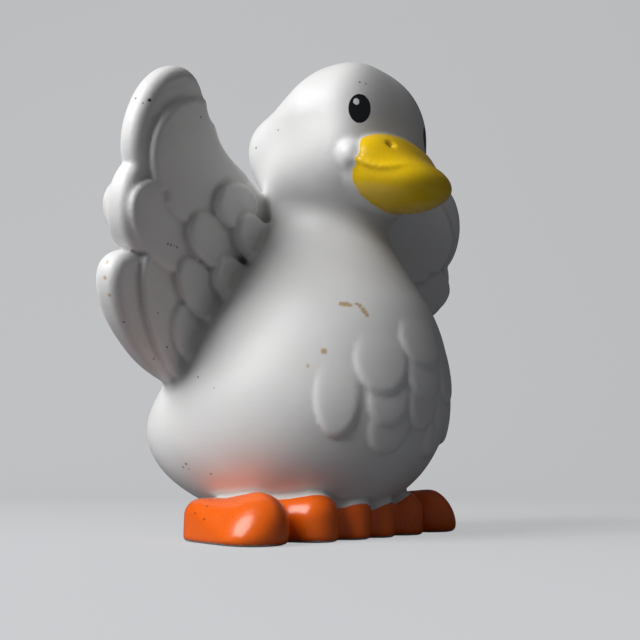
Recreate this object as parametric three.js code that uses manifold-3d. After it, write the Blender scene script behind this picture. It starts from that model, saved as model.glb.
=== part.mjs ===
// A small toy duck with both wings raised, moulded in one piece of soft vinyl.
// Millimetres, +Z up. The duck faces -Y and stands on flat feet at z = 0, with the origin between them.

import * as THREE from 'three';
import { mergeVertices } from 'three/addons/utils/BufferGeometryUtils.js';
import Module from 'manifold-3d';

// Belly: the wide lower half of the body, held just clear of the table by the feet.
const BELLY_HALF = new THREE.Vector3(16.3, 15.2, 12.4);
const BELLY_BACK = 2;
const BELLY_CLEARANCE = 1.4;

// Rump: the rounded back end, lower and further back than the belly.
const RUMP_HALF = new THREE.Vector3(14.6, 13.2, 9);
const RUMP_BACK = 6.8;
const RUMP_DROP = 1.9;

// Breast and neck: one taper from the breast up to the throat.
const BREAST_RADIUS = 13.9;
const BREAST_RISE = 5.25;
const BREAST_FORWARD = 2.6;
const THROAT_RADIUS = 6;
const NECK_LENGTH = 15.1;
const NECK_FORWARD = 0.6;

// Head: a round crown with a broad face, sloping back to a smaller nape, over a fuller jaw.
const CROWN_HALF = new THREE.Vector3(9.2, 6.8, 7.4);
const CROWN_RISE = 12.7;
const CROWN_FORWARD = 4.9;
const SKULL_RADIUS = 7.2;
const SKULL_BREADTH = 1.3;
const NAPE_RADIUS = 4.3;
const NAPE_BACK = 11.4;
const NAPE_DROP = 0.7;
const JAW_HALF = new THREE.Vector3(8.5, 7.9, 6);
const JAW_DROP = 6.4;
const JAW_BACK = 2.6;

// Widths of the soft joints between those forms.
const BODY_JOINT = 4;
const CROWN_JOINT = 1;
const JAW_JOINT = 3;
const HEAD_JOINT = 2;

// Cheek: a small round bump behind each corner of the beak, set by its bearing from the crown's middle.
const CHEEK_HALF = new THREE.Vector3(1.45, 1.4, 1.55);
const CHEEK_TURN = 58;
const CHEEK_DIP = 39;
const CHEEK_SINK = 0.3;

// Beak: a steep nose with two nostrils over a flat spoon, and a shallow bowl under the spoon's rim.
// Each is set forward of the crown's middle and below it, with its front end lowered.
const NOSE_HALF = new THREE.Vector3(4.4, 4.7, 3);
const NOSE_FORWARD = 4.9;
const NOSE_DROP = 5.25;
const NOSE_NOD = 25;
const SPOON_HALF = new THREE.Vector3(6.1, 6.4, 1.2);
const SPOON_FORWARD = 5.1;
const SPOON_DROP = 7.45;
const SPOON_NOD = 10;
const BOWL_HALF = new THREE.Vector3(4.8, 6, 2.7);
const BOWL_FORWARD = 4.7;
const BOWL_DROP = 8.25;
const BOWL_NOD = 8;
const NOSTRIL_RADIUS = 0.55;
const NOSTRIL_SPREAD = 2.1;
const NOSTRIL_FORWARD = 3;

// Wing: a plate that leans and sweeps forward, standing out from the shoulder on each side.
const WING_BACK = 8.8;
const WING_HEIGHT = 29.45;
const WING_LEAN = 15.6;
const WING_SWEEP = 13;
const WING_HALF_THICKNESS = 1.25;
const PLATE_ROUND = 1.1;

// Feathers, as ellipses on the wing plate: how far out and up from the root, half sizes out and up,
// how far the outer end is tilted up, and how far each stands above the plate.
const SHOULDER = { out: 13.5, up: 2.8, halfOut: 11.5, halfUp: 9.1, tilt: 2, step: 0 };
const LONG_TOP = { out: 25.2, up: 11.9, halfOut: 4.9, halfUp: 6.5, tilt: 10, step: 0.1 };
const LONG_MIDDLE = { out: 25.1, up: 4.3, halfOut: 4.4, halfUp: 5.3, tilt: -6, step: 0.05 };
const LONG_LOW = { out: 17.9, up: -7.2, halfOut: 11.3, halfUp: 4.9, tilt: 25, step: 0 };
const COVERT_TOP = { out: 19.5, up: 10.1, halfOut: 8.7, halfUp: 6.6, tilt: 0, step: 0.5 };
const COVERT_MIDDLE = { out: 21.5, up: 2.6, halfOut: 7.6, halfUp: 4.2, tilt: 12, step: 0.55 };
const COVERT_LOW = { out: 18, up: -6.1, halfOut: 8.8, halfUp: 4.2, tilt: 43, step: 0.55 };
const SCALE_TOP = { out: 12.9, up: 7.6, halfOut: 4.3, halfUp: 2.6, tilt: -11, step: 1.15 };
const SCALE_UPPER = { out: 15.1, up: 2.9, halfOut: 5.3, halfUp: 2.8, tilt: 6, step: 1.1 };
const SCALE_LOWER = { out: 15.3, up: -2.7, halfOut: 5.3, halfUp: 2.6, tilt: 21, step: 1.05 };
const SCALE_LOW = { out: 15.4, up: -7.4, halfOut: 4, halfUp: 2.6, tilt: 33, step: 1 };
const SCALE_INNER_TOP = { out: 8.9, up: 4.8, halfOut: 4.2, halfUp: 2.5, tilt: 10, step: 1.75 };
const SCALE_INNER_LOW = { out: 11.6, up: -0.4, halfOut: 3.2, halfUp: 2.4, tilt: 8, step: 1.7 };
const COVERT_ROUND = 0.7;
const COVERT_SETBACK = 0.2;
const SCALE_ROUND = 0.9;

// Each feather over the plate is higher at its outer lower edge, and lower where the next one covers it.
const FEATHER_RISE = -50;
const FEATHER_LIFT = 0.38;

// Leading edge: a hollow curve in which the shoulder runs up into the wing's tip.
const LEADING_EDGE_START = 7;
const LEADING_EDGE_JOINT = 10;
const LEADING_EDGE_FADE = 6;

// Tail: three short feathers fanned out at the back of the rump and turned up.
const TAIL_HALF = new THREE.Vector3(3, 6.6, 2.5);
const TAIL_BEARING = 20;
const TAIL_RISE = 32;
const TAIL_FAN = 21;
const TAIL_SINK = 3;
const TAIL_SEAT = 2;

// Feet: three rounded toes on each side, from a heel under the belly to a higher knuckle in front of it.
const OUTER_TOE = { heelSide: 12.5, heelY: 2.2, heelRadius: 4.2, tipSide: 14.6, tipY: -4.2, tipRadius: 3.3 };
const MIDDLE_TOE = { heelSide: 8.5, heelY: 1, heelRadius: 4, tipSide: 7.5, tipY: -5.7, tipRadius: 2.6 };
const INNER_TOE = { heelSide: 4.5, heelY: 0, heelRadius: 3.5, tipSide: 2.2, tipY: -6.3, tipRadius: 2.1 };
const HEEL_HEIGHT = 4.3;
const KNUCKLE_HEIGHT = 5;
const TOE_ROUND = 2;
const SOLE_HALF = new THREE.Vector2(12, 7);
const SOLE_HEIGHT = 3.4;
const TABLE_SIZE = 200;

// Bib: overlapping scale feathers on the breast, by their place to the side and above the belly's middle.
const BIB_LOW = { side: 4.2, rise: -2.4, halfWidth: 2.6, halfHeight: 3 };
const BIB_LEAF = { side: 9.9, rise: 0.6, halfWidth: 2.4, halfHeight: 4.3 };
const BIB_MIDDLE = { side: 4.9, rise: 0.3, halfWidth: 2.6, halfHeight: 2.9 };
const BIB_UPPER = { side: 5.8, rise: 4.2, halfWidth: 3.2, halfHeight: 3.6 };
const BIB_CENTRE_LOW = { side: 0, rise: 0.4, halfWidth: 2.6, halfHeight: 2.9 };
const BIB_CENTRE = { side: 0, rise: 3.5, halfWidth: 3, halfHeight: 3 };
const BIB_CENTRE_TOP = { side: 0, rise: 6.9, halfWidth: 3.6, halfHeight: 3.2 };
const BIB_HALF_THICKNESS = 0.8;
const BIB_SINK = 0.5;
const BIB_LIFT = 5;

// Fineness of the facets.
const BODY_AROUND = 30;
const BODY_ALONG = 22;
const BODY_CAP = 9;
const PLATE_SEGMENTS = 9;
const SHOULDER_SEGMENTS = 12;
const LEADING_EDGE_SEGMENTS = 10;
const COVERT_SEGMENTS = 6;
const SCALE_SEGMENTS = 5;
const FEATHER_EDGE_STEPS = 2;
const TOE_SEGMENTS = 5;
const TOE_EDGE_STEPS = 3;
const SOLE_SEGMENTS = 12;
const BEAK_AROUND = 20;
const BEAK_DOWN = 10;
const CHEEK_AROUND = 10;
const CHEEK_DOWN = 7;
const NOSTRIL_AROUND = 8;
const NOSTRIL_DOWN = 6;
const BIB_AROUND = 12;
const BIB_DOWN = 6;
const TAIL_AROUND = 12;
const TAIL_DOWN = 8;
const FACET_TOLERANCE = 0.05;

const degrees = THREE.MathUtils.degToRad;

// Middles of the body's forms, each taken from the one it grows out of.
const belly = new THREE.Vector3(0, BELLY_BACK, BELLY_CLEARANCE + BELLY_HALF.z);
const rump = belly.clone().add(new THREE.Vector3(0, RUMP_BACK, -RUMP_DROP));
const breast = belly.clone().add(new THREE.Vector3(0, -BREAST_FORWARD, BREAST_RISE));
const throat = breast.clone().add(new THREE.Vector3(0, -NECK_FORWARD, NECK_LENGTH));
const crown = throat.clone().add(new THREE.Vector3(0, -CROWN_FORWARD, CROWN_RISE));
const nape = crown.clone().add(new THREE.Vector3(0, NAPE_BACK, -NAPE_DROP));
const jaw = crown.clone().add(new THREE.Vector3(0, JAW_BACK, -JAW_DROP));

// Distance from a point to an ellipsoid, negative inside.
function toEllipsoid(point, middle, half) {
  const offset = point.clone().sub(middle).divide(half);
  const scaled = offset.length();
  const slope = offset.divide(half).length();
  return slope > 0 ? scaled * (scaled - 1) / slope : -half.z;
}

// Distance from a point to a taper between two balls, negative inside.
function toTaper(point, start, startRadius, end, endRadius) {
  const axis = end.clone().sub(start);
  const length = axis.length();
  axis.divideScalar(length);
  const offset = point.clone().sub(start);
  const along = offset.dot(axis);
  const across = offset.addScaledVector(axis, -along).length();
  const narrowing = (startRadius - endRadius) / length;
  const shift = across * narrowing / Math.sqrt(1 - narrowing * narrowing);
  const share = THREE.MathUtils.clamp((along - shift) / length, 0, 1);
  const radius = THREE.MathUtils.lerp(startRadius, endRadius, share);
  return Math.hypot(along - share * length, across) - radius;
}

// Softly rounded union of two distances.
function blend(first, second, width) {
  const share = THREE.MathUtils.clamp(0.5 + 0.5 * (second - first) / width, 0, 1);
  return THREE.MathUtils.lerp(second, first, share) - width * share * (1 - share);
}

function toBody(point) {
  const back = toEllipsoid(point, rump, RUMP_HALF);
  const lower = blend(toEllipsoid(point, belly, BELLY_HALF), back, BODY_JOINT);
  const neck = toTaper(point, breast, BREAST_RADIUS, throat, THROAT_RADIUS);
  const torso = blend(lower, neck, BODY_JOINT);
  const narrowed = point.clone().setX(point.x / SKULL_BREADTH);
  const slope = toTaper(narrowed, crown, SKULL_RADIUS, nape, NAPE_RADIUS);
  const skull = blend(slope, toEllipsoid(point, crown, CROWN_HALF), CROWN_JOINT);
  const hindneck = toTaper(point, nape, NAPE_RADIUS, throat, THROAT_RADIUS);
  const face = blend(skull, hindneck, JAW_JOINT);
  const head = blend(face, toEllipsoid(point, jaw, JAW_HALF), JAW_JOINT);
  return blend(torso, head, HEAD_JOINT);
}

// Where a ray from inside the body comes out through its skin.
function onBody(from, direction) {
  let near = 0;
  let far = 2 * (BELLY_HALF.length() + RUMP_HALF.length());
  while (far - near > FACET_TOLERANCE / 1000) {
    const middle = (near + far) / 2;
    const inside = toBody(from.clone().addScaledVector(direction, middle)) < 0;
    near = inside ? middle : near;
    far = inside ? far : middle;
  }
  return from.clone().addScaledVector(direction, near);
}

// Body: a capsule from the belly's middle to the crown's, its points moved out to the blended skin.
function makeBody() {
  const shape = new THREE.CapsuleGeometry(1, 1, BODY_CAP, BODY_AROUND, BODY_ALONG);
  shape.rotateX(Math.PI / 2);
  const points = shape.attributes.position;
  for (let i = 0; i < points.count; i += 1) {
    const point = new THREE.Vector3().fromBufferAttribute(points, i);
    const height = THREE.MathUtils.clamp(point.z, -0.5, 0.5);
    const start = belly.clone().lerp(crown, height + 0.5);
    const direction = point.setZ(point.z - height).normalize();
    const skin = onBody(start, direction);
    points.setXYZ(i, skin.x, skin.y, skin.z);
  }
  return shape;
}

// An ellipsoid whose front end is lowered by the given angle.
function makeEllipsoid(half, middle, nod, around, down) {
  const shape = new THREE.SphereGeometry(1, around, down);
  shape.rotateX(Math.PI / 2);
  shape.scale(half.x, half.y, half.z);
  shape.rotateX(degrees(nod));
  shape.translate(middle.x, middle.y, middle.z);
  return shape;
}

// Distance from a place on the wing plate to a feather's outline, negative inside.
function toFeather(feather, out, up) {
  const place = new THREE.Vector2(out - feather.out, up - feather.up);
  place.rotateAround(new THREE.Vector2(), -degrees(feather.tilt));
  const offset = place.divide(new THREE.Vector2(feather.halfOut, feather.halfUp));
  const scaled = offset.length();
  const slope = Math.hypot(offset.x / feather.halfOut, offset.y / feather.halfUp);
  return slope > 0 ? scaled * (scaled - 1) / slope : -feather.halfUp;
}

// How high the leading edge runs at a place out from the root.
function leadingEdge(out) {
  const fade = THREE.MathUtils.clamp((LONG_TOP.out - out) / LEADING_EDGE_FADE, FACET_TOLERANCE, 1);
  const run = (out - SHOULDER.out) / (LONG_TOP.out - SHOULDER.out);
  let low = THREE.MathUtils.lerp(SHOULDER.up, LONG_TOP.up, run);
  let high = LONG_TOP.up + 2 * LONG_TOP.halfUp;
  while (high - low > FACET_TOLERANCE / 1000) {
    const middle = (low + high) / 2;
    const top = toFeather(LONG_TOP, out, middle);
    const inside = blend(top, toFeather(SHOULDER, out, middle), LEADING_EDGE_JOINT * fade) < 0;
    low = inside ? middle : low;
    high = inside ? high : middle;
  }
  return low;
}

// An ellipse on the wing plate.
function featherOutline(feather) {
  const { out, up, halfOut, halfUp, tilt } = feather;
  return new THREE.Shape().absellipse(out, up, halfOut, halfUp, 0, 2 * Math.PI, false, degrees(tilt));
}

// The hollow between the shoulder and the wing's tip, filled up to the leading edge.
function leadingEdgeOutline() {
  const outline = new THREE.Shape();
  outline.moveTo(LONG_TOP.out + LONG_TOP.halfOut / 2, LONG_TOP.up);
  for (let i = 0; i <= LEADING_EDGE_SEGMENTS; i += 1) {
    const out = THREE.MathUtils.lerp(LONG_TOP.out, LEADING_EDGE_START, i / LEADING_EDGE_SEGMENTS);
    outline.lineTo(out, leadingEdge(out));
  }
  outline.lineTo(LEADING_EDGE_START, SHOULDER.up);
  return outline;
}

// The top covert: an ellipse kept a little inside the leading edge.
function topCovertOutline() {
  const outline = new THREE.Shape();
  for (let i = 0; i < 4 * COVERT_SEGMENTS; i += 1) {
    const angle = Math.PI * i / (2 * COVERT_SEGMENTS);
    const out = COVERT_TOP.out + COVERT_TOP.halfOut * Math.cos(angle);
    const up = COVERT_TOP.up + COVERT_TOP.halfUp * Math.sin(angle);
    const kept = Math.min(up, leadingEdge(out) - COVERT_SETBACK);
    if (i === 0) {
      outline.moveTo(out, kept);
    } else {
      outline.lineTo(out, kept);
    }
  }
  outline.closePath();
  return outline;
}

// A feather: its outline extruded both ways from the wing's middle plane, with rounded edges, and set in
// the wing's place after its faces are lifted towards the outer lower edge.
function makeFeather(outline, feather, lift, round, segments) {
  const half = WING_HALF_THICKNESS + feather.step;
  const shape = new THREE.ExtrudeGeometry(outline, {
    depth: 2 * (half - round),
    bevelThickness: round,
    bevelSize: round,
    bevelOffset: -round,
    bevelSegments: FEATHER_EDGE_STEPS,
    curveSegments: segments,
  });
  shape.translate(0, 0, round - half);
  const points = shape.attributes.position;
  const rise = degrees(FEATHER_RISE);
  for (let i = 0; i < points.count; i += 1) {
    const out = points.getX(i) - feather.out;
    const up = points.getY(i) - feather.up;
    const along = out * Math.cos(rise) + up * Math.sin(rise);
    const share = THREE.MathUtils.clamp(along / Math.min(feather.halfOut, feather.halfUp), -1, 1);
    points.setZ(i, points.getZ(i) * (1 + lift * share / half));
  }
  shape.rotateX(Math.PI / 2 + degrees(WING_LEAN));
  shape.rotateZ(-degrees(WING_SWEEP));
  shape.translate(0, WING_BACK, WING_HEIGHT);
  return shape;
}

// A row of feathers with plain outlines.
function makeRow(feathers, lift, round, segments) {
  return feathers.map((feather) => makeFeather(featherOutline(feather), feather, lift, round, segments));
}

// A toe: the outline round its heel and tip, raised with a rounded top edge that climbs to the knuckle,
// and run on below the table.
function makeToe(toe) {
  const heel = new THREE.Vector2(toe.heelSide, toe.heelY);
  const tip = new THREE.Vector2(toe.tipSide, toe.tipY);
  const line = tip.clone().sub(heel);
  const heading = line.angle();
  const spread = Math.acos((toe.heelRadius - toe.tipRadius) / line.length());
  const outline = new THREE.Shape();
  const back = heading - spread + 2 * Math.PI;
  outline.absarc(heel.x, heel.y, toe.heelRadius, heading + spread, back, false);
  outline.absarc(tip.x, tip.y, toe.tipRadius, heading - spread, heading + spread, false);
  outline.closePath();
  const shape = new THREE.ExtrudeGeometry(outline, {
    depth: KNUCKLE_HEIGHT - TOE_ROUND,
    bevelThickness: TOE_ROUND,
    bevelSize: TOE_ROUND,
    bevelOffset: -TOE_ROUND,
    bevelSegments: TOE_EDGE_STEPS,
    curveSegments: TOE_SEGMENTS,
  });
  const points = shape.attributes.position;
  for (let i = 0; i < points.count; i += 1) {
    const share = THREE.MathUtils.clamp((points.getY(i) - heel.y) / (tip.y - heel.y), 0, 1);
    const height = THREE.MathUtils.lerp(HEEL_HEIGHT, KNUCKLE_HEIGHT, share);
    points.setZ(i, points.getZ(i) * height / KNUCKLE_HEIGHT);
  }
  return shape;
}

// Sole: the flat web under the belly that joins the two feet.
function makeSole() {
  const outline = new THREE.Shape();
  outline.absellipse(0, 0, SOLE_HALF.x, SOLE_HALF.y, 0, 2 * Math.PI);
  const settings = { depth: SOLE_HEIGHT, bevelEnabled: false, curveSegments: SOLE_SEGMENTS };
  return new THREE.ExtrudeGeometry(outline, settings);
}

// A bib scale: a flat ellipsoid laid on the breast, its lower edge lifted a little off the skin.
function makeBibScale(scale) {
  const start = new THREE.Vector3(scale.side, belly.y, belly.z + scale.rise);
  const forward = new THREE.Vector3(0, -1, 0);
  const seat = onBody(start, forward);
  const left = onBody(start.clone().setX(scale.side - BIB_HALF_THICKNESS), forward);
  const right = onBody(start.clone().setX(scale.side + BIB_HALF_THICKNESS), forward);
  const low = onBody(start.clone().setZ(start.z - BIB_HALF_THICKNESS), forward);
  const high = onBody(start.clone().setZ(start.z + BIB_HALF_THICKNESS), forward);
  const across = right.sub(left).normalize();
  const upward = high.sub(low).normalize();
  const inward = upward.clone().cross(across).normalize();
  const basis = new THREE.Matrix4().makeBasis(across, inward, across.clone().cross(inward));
  const shape = new THREE.SphereGeometry(1, BIB_AROUND, BIB_DOWN);
  shape.scale(scale.halfWidth, BIB_HALF_THICKNESS, scale.halfHeight);
  shape.rotateX(-degrees(BIB_LIFT));
  shape.applyMatrix4(basis);
  seat.addScaledVector(inward, BIB_SINK);
  shape.translate(seat.x, seat.y, seat.z);
  return shape;
}

// A tail feather: a flat ellipsoid rooted in the rump, turned up and swung out to one side.
function makeTailFeather(swing) {
  const bearing = new THREE.Vector3(0, Math.cos(degrees(TAIL_BEARING)), Math.sin(degrees(TAIL_BEARING)));
  const root = onBody(rump, bearing).addScaledVector(bearing, -TAIL_SINK);
  const shape = new THREE.SphereGeometry(1, TAIL_AROUND, TAIL_DOWN);
  shape.scale(TAIL_HALF.x, TAIL_HALF.y, TAIL_HALF.z);
  shape.translate(0, TAIL_SEAT, 0);
  shape.rotateZ(degrees(swing));
  shape.rotateX(degrees(TAIL_RISE));
  shape.translate(root.x, root.y, root.z);
  return shape;
}

const wasm = await Module();
wasm.setup();

function toSolid(geometry) {
  const bare = geometry.clone();
  bare.deleteAttribute('normal');
  bare.deleteAttribute('uv');
  const welded = mergeVertices(bare, 1e-4);
  const vertProperties = new Float32Array(welded.attributes.position.array);
  const triVerts = new Uint32Array(welded.index.array);
  return new wasm.Manifold(new wasm.Mesh({ numProp: 3, vertProperties, triVerts }));
}

// The pieces on the duck's left, each with its mirror image on the right.
const cheekBearing = new THREE.Vector3(
  Math.sin(degrees(CHEEK_TURN)) * Math.cos(degrees(CHEEK_DIP)),
  -Math.cos(degrees(CHEEK_TURN)) * Math.cos(degrees(CHEEK_DIP)),
  -Math.sin(degrees(CHEEK_DIP)),
);
const cheek = onBody(crown, cheekBearing).addScaledVector(cheekBearing, -CHEEK_SINK);
const plates = [LONG_TOP, LONG_MIDDLE, LONG_LOW];
const coverts = [COVERT_MIDDLE, COVERT_LOW];
const scales = [SCALE_TOP, SCALE_UPPER, SCALE_LOWER, SCALE_LOW, SCALE_INNER_TOP, SCALE_INNER_LOW];
const leftPieces = [
  makeEllipsoid(CHEEK_HALF, cheek, 0, CHEEK_AROUND, CHEEK_DOWN),
  makeFeather(leadingEdgeOutline(), LONG_TOP, 0, PLATE_ROUND, PLATE_SEGMENTS),
  makeFeather(topCovertOutline(), COVERT_TOP, FEATHER_LIFT, COVERT_ROUND, COVERT_SEGMENTS),
  ...makeRow([SHOULDER], 0, PLATE_ROUND, SHOULDER_SEGMENTS),
  ...makeRow(plates, 0, PLATE_ROUND, PLATE_SEGMENTS),
  ...makeRow(coverts, FEATHER_LIFT, COVERT_ROUND, COVERT_SEGMENTS),
  ...makeRow(scales, FEATHER_LIFT, SCALE_ROUND, SCALE_SEGMENTS),
  ...[OUTER_TOE, MIDDLE_TOE, INNER_TOE].map(makeToe),
  ...[BIB_LOW, BIB_LEAF, BIB_MIDDLE, BIB_UPPER].map(makeBibScale),
  makeTailFeather(-TAIL_FAN),
];

// The pieces on the middle line.
const nose = crown.clone().add(new THREE.Vector3(0, -NOSE_FORWARD, -NOSE_DROP));
const spoon = crown.clone().add(new THREE.Vector3(0, -SPOON_FORWARD, -SPOON_DROP));
const bowl = crown.clone().add(new THREE.Vector3(0, -BOWL_FORWARD, -BOWL_DROP));
const middlePieces = [
  makeBody(),
  makeSole(),
  makeEllipsoid(NOSE_HALF, nose, NOSE_NOD, BEAK_AROUND, BEAK_DOWN),
  makeEllipsoid(SPOON_HALF, spoon, SPOON_NOD, BEAK_AROUND, BEAK_DOWN),
  makeEllipsoid(BOWL_HALF, bowl, BOWL_NOD, BEAK_AROUND, BEAK_DOWN),
  ...[BIB_CENTRE_LOW, BIB_CENTRE, BIB_CENTRE_TOP].map(makeBibScale),
  makeTailFeather(0),
];

let duck = toSolid(middlePieces[0]);
for (const piece of middlePieces.slice(1)) {
  duck = duck.add(toSolid(piece));
}
for (const piece of leftPieces) {
  const left = toSolid(piece);
  duck = duck.add(left).add(left.mirror([1, 0, 0]));
}

// Nostrils: a dimple on each side of the nose's ridge.
const nostrilReach = Math.hypot(NOSTRIL_SPREAD / NOSE_HALF.x, NOSTRIL_FORWARD / NOSE_HALF.y);
const nostrilRise = NOSE_HALF.z * Math.sqrt(1 - nostrilReach ** 2);
const nostrilOnNose = new THREE.Vector3(NOSTRIL_SPREAD, -NOSTRIL_FORWARD, nostrilRise);
nostrilOnNose.applyAxisAngle(new THREE.Vector3(1, 0, 0), degrees(NOSE_NOD)).add(nose);
const nostrilHalf = new THREE.Vector3().setScalar(NOSTRIL_RADIUS);
const nostril = toSolid(makeEllipsoid(nostrilHalf, nostrilOnNose, 0, NOSTRIL_AROUND, NOSTRIL_DOWN));
duck = duck.subtract(nostril).subtract(nostril.mirror([1, 0, 0]));

// The flat underside.
const table = new THREE.BoxGeometry(TABLE_SIZE, TABLE_SIZE, TABLE_SIZE);
table.translate(0, 0, -TABLE_SIZE / 2);
duck = duck.subtract(toSolid(table));

const surface = duck.simplify(FACET_TOLERANCE).getMesh();
const geometry = new THREE.BufferGeometry();
geometry.setAttribute('position', new THREE.BufferAttribute(new Float32Array(surface.vertProperties), 3));
geometry.setIndex(new THREE.BufferAttribute(new Uint32Array(surface.triVerts), 1));
geometry.computeVertexNormals();

const vinyl = new THREE.MeshStandardMaterial({ color: 0xe6e6e8, roughness: 0.5, metalness: 0 });
const figurine = new THREE.Mesh(geometry, vinyl);
figurine.name = 'duck_figurine';

const group = new THREE.Group();
group.name = 'toy_duck';
group.add(figurine);

export default group;
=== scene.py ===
import math
import bpy
import numpy as np
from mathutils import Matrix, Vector


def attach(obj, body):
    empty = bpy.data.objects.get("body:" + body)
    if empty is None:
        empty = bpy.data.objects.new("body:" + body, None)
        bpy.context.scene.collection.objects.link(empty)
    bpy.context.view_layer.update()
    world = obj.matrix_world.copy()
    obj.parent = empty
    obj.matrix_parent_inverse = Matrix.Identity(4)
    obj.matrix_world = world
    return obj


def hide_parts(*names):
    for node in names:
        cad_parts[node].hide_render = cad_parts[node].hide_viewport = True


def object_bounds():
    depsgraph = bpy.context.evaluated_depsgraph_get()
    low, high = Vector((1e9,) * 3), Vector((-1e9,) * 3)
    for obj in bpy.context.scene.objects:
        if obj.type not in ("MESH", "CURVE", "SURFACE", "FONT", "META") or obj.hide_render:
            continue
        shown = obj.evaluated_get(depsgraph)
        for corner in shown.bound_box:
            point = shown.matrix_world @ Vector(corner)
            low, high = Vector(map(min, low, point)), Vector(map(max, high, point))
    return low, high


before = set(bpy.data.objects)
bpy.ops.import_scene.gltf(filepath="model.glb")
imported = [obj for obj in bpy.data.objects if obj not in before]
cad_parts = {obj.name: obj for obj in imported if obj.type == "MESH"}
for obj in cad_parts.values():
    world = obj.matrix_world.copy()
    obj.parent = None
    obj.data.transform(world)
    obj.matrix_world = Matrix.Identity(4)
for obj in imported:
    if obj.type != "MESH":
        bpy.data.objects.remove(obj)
cad_low, cad_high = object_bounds()

# Camera.
# The photograph was taken close to the toy, from a little below its middle and off its right front
# corner. Places and sizes in this file are in millimetres unless their name ends in _m.
METRE = 0.001
FRAME_PIXELS = 640
FOCAL_PIXELS = 861
SENSOR_WIDTH = 36
CAMERA_TURN = math.radians(-48.8)
CAMERA_RISE = math.radians(-10.4)
CAMERA_DISTANCE = 101.3
CAMERA_TARGET = np.array([0, 0, 24.65])
CLIP_NEAR = 5
CLIP_FAR = 20000

camera_back = np.array([
    math.sin(CAMERA_TURN) * math.cos(CAMERA_RISE),
    -math.cos(CAMERA_TURN) * math.cos(CAMERA_RISE),
    math.sin(CAMERA_RISE),
])
camera_right = np.array([math.cos(CAMERA_TURN), math.sin(CAMERA_TURN), 0])
camera_up = np.cross(camera_back, camera_right)
camera_place = CAMERA_TARGET + camera_back * CAMERA_DISTANCE

camera_data = bpy.data.cameras.new("camera")
camera_data.sensor_width = SENSOR_WIDTH
camera_data.lens = FOCAL_PIXELS * SENSOR_WIDTH / FRAME_PIXELS
camera_data.clip_start = CLIP_NEAR * METRE
camera_data.clip_end = CLIP_FAR * METRE
camera = bpy.data.objects.new("camera", camera_data)
camera.location = Vector(camera_place) * METRE
camera.rotation_mode = "QUATERNION"
camera.rotation_quaternion = Vector(-camera_back).to_track_quat("-Z", "Y")
bpy.context.collection.objects.link(camera)
bpy.context.scene.camera = camera


# Body.
# The toy is one hollow moulding of soft vinyl, so its shape is written as one signed distance, form by
# form, and meshed at the end. Body, neck and head flow into each other as the sculpted original does.
BELLY_HALF = (16.3, 15.2, 12.4)
BELLY_BACK = 2
BELLY_CLEARANCE = 1.4
RUMP_HALF = (14.6, 13.2, 9)
RUMP_OFFSET = (0, 6.8, -1.9)
BREAST_RADIUS = 13.9
BREAST_OFFSET = (0, -2.6, 5.25)
THROAT_RADIUS = 6
THROAT_OFFSET = (0, -0.6, 15.1)
CROWN_OFFSET = (0, -4.9, 12.7)
SKULL_RADIUS = 6.5
SKULL_BREADTH = 1.45
SKULL_BACK = 1.4
FACE_HALF = (8.5, 5.2, 8.0)
FACE_OFFSET = (0, -0.9, -1.3)
FACE_PLAN_POWER = 2.8
FACE_RISE_POWER = 2.4
FACE_JOINT = 1.5
NAPE_RADIUS = 5
NAPE_OFFSET = (0, 9.3, -1.5)
JAW_HALF = (8.5, 7.9, 6.0)
JAW_OFFSET = (0, 2.6, -6.4)
BODY_JOINT = 4
JAW_JOINT = 3
HEAD_JOINT = 2
RAY_LENGTH = 60
RAY_HALVINGS = 40
TINY = 1e-6

belly = np.array([0, BELLY_BACK, BELLY_CLEARANCE + BELLY_HALF[2]])
rump = belly + RUMP_OFFSET
breast = belly + BREAST_OFFSET
throat = breast + THROAT_OFFSET
crown = throat + CROWN_OFFSET
nape = crown + NAPE_OFFSET
jaw = crown + JAW_OFFSET


def ellipsoid(points, middle, half, nod=0, plan_power=2, rise_power=2):
    """Distance to an ellipsoid, negative inside, with its front end lowered by nod degrees.
    A power over 2 makes it boxier, in plan or upright."""
    x, y, z = (points[i] - middle[i] for i in range(3))
    c, s = math.cos(math.radians(nod)), math.sin(math.radians(nod))
    y, z = y * c + z * s, z * c - y * s
    across, along, up = np.abs(x) / half[0], np.abs(y) / half[1], np.abs(z) / half[2]
    plan = np.maximum((across ** plan_power + along ** plan_power) ** (1 / plan_power), TINY)
    reach = np.maximum((plan ** rise_power + up ** rise_power) ** (1 / rise_power), TINY)
    slope_across = (across / plan) ** (plan_power - 1) / half[0]
    slope_along = (along / plan) ** (plan_power - 1) / half[1]
    slope_plan = (plan / reach) ** (rise_power - 1) * np.hypot(slope_across, slope_along)
    slope_up = (up / reach) ** (rise_power - 1) / half[2]
    return (reach - 1) / np.maximum(np.hypot(slope_plan, slope_up), TINY)


def taper(points, start, start_radius, end, end_radius):
    """Distance to the skin stretched over two balls, negative inside."""
    axis = np.subtract(end, start)
    length = np.linalg.norm(axis)
    axis = axis / length
    offset = [points[i] - start[i] for i in range(3)]
    along = sum(offset[i] * axis[i] for i in range(3))
    across = np.sqrt(np.maximum(sum(part ** 2 for part in offset) - along ** 2, 0))
    narrowing = (start_radius - end_radius) / length
    shift = across * narrowing / math.sqrt(1 - narrowing ** 2)
    share = np.clip((along - shift) / length, 0, 1)
    radius = start_radius + (end_radius - start_radius) * share
    return np.hypot(along - share * length, across) - radius


def join(first, second, width):
    """Union of two distances with a rounded joint of that width."""
    share = np.clip(0.5 + 0.5 * (second - first) / width, 0, 1)
    return second + (first - second) * share - width * share * (1 - share)


def carve(solid, tool, width):
    """What is left of a solid after a tool is taken away, with a rounded edge of that width."""
    return -join(-solid, tool, width)


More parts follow.
